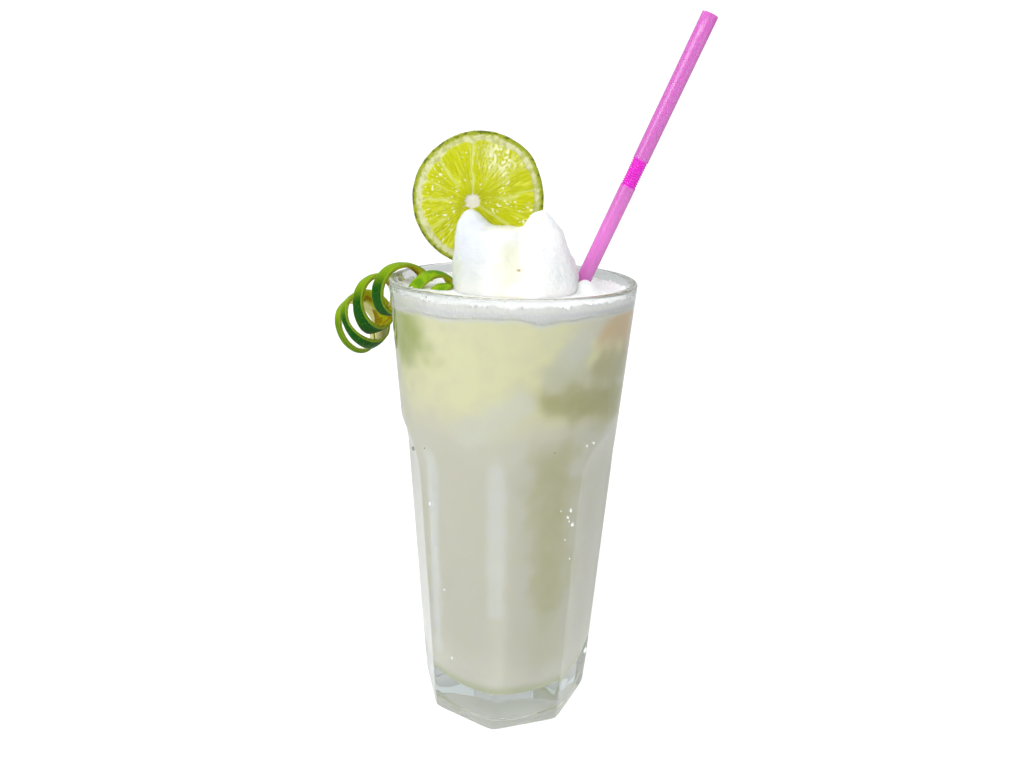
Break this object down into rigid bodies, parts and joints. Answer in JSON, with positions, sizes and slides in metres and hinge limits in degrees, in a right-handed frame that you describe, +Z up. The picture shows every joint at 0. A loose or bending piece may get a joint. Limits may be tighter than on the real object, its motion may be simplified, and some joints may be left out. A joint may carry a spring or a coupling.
{
  "type": "brazilian lemonade in a tall faceted glass",
  "caption": "Creamy blended lime drink in a tall eight-sided glass, with froth, a slush mound, a lime wheel, a coiled peel and a bendy straw.",
  "frame": {"origin": "middle of the glass's flat underside, on the glass's axis", "axes": "+Z up, along the glass's axis; the front of the drink, where the lime wheel faces, looks along -Y; +X is to the right, where the straw leans"},
  "size_m": [0.1398, 0.0906, 0.2655],
  "materials": {
    "clear_glass": "clear pressed soda-lime glass, polished",
    "lemonade": "cloudy creamy lime drink",
    "froth": "fine white foam",
    "slush": "frozen white slush, faintly translucent",
    "lime_flesh": "wet lime flesh",
    "lime_peel": "waxy green rind with pale pith inside",
    "pink_plastic": "thin translucent polypropylene"
  },
  "bodies": {
    "root": {"glass": "clear_glass", "lemonade": "lemonade", "froth": "froth", "slush_mound": "slush", "lime_slice": "lime_flesh", "lime_peel": "lime_peel", "straw": "pink_plastic"}
  },
  "joints": []
}
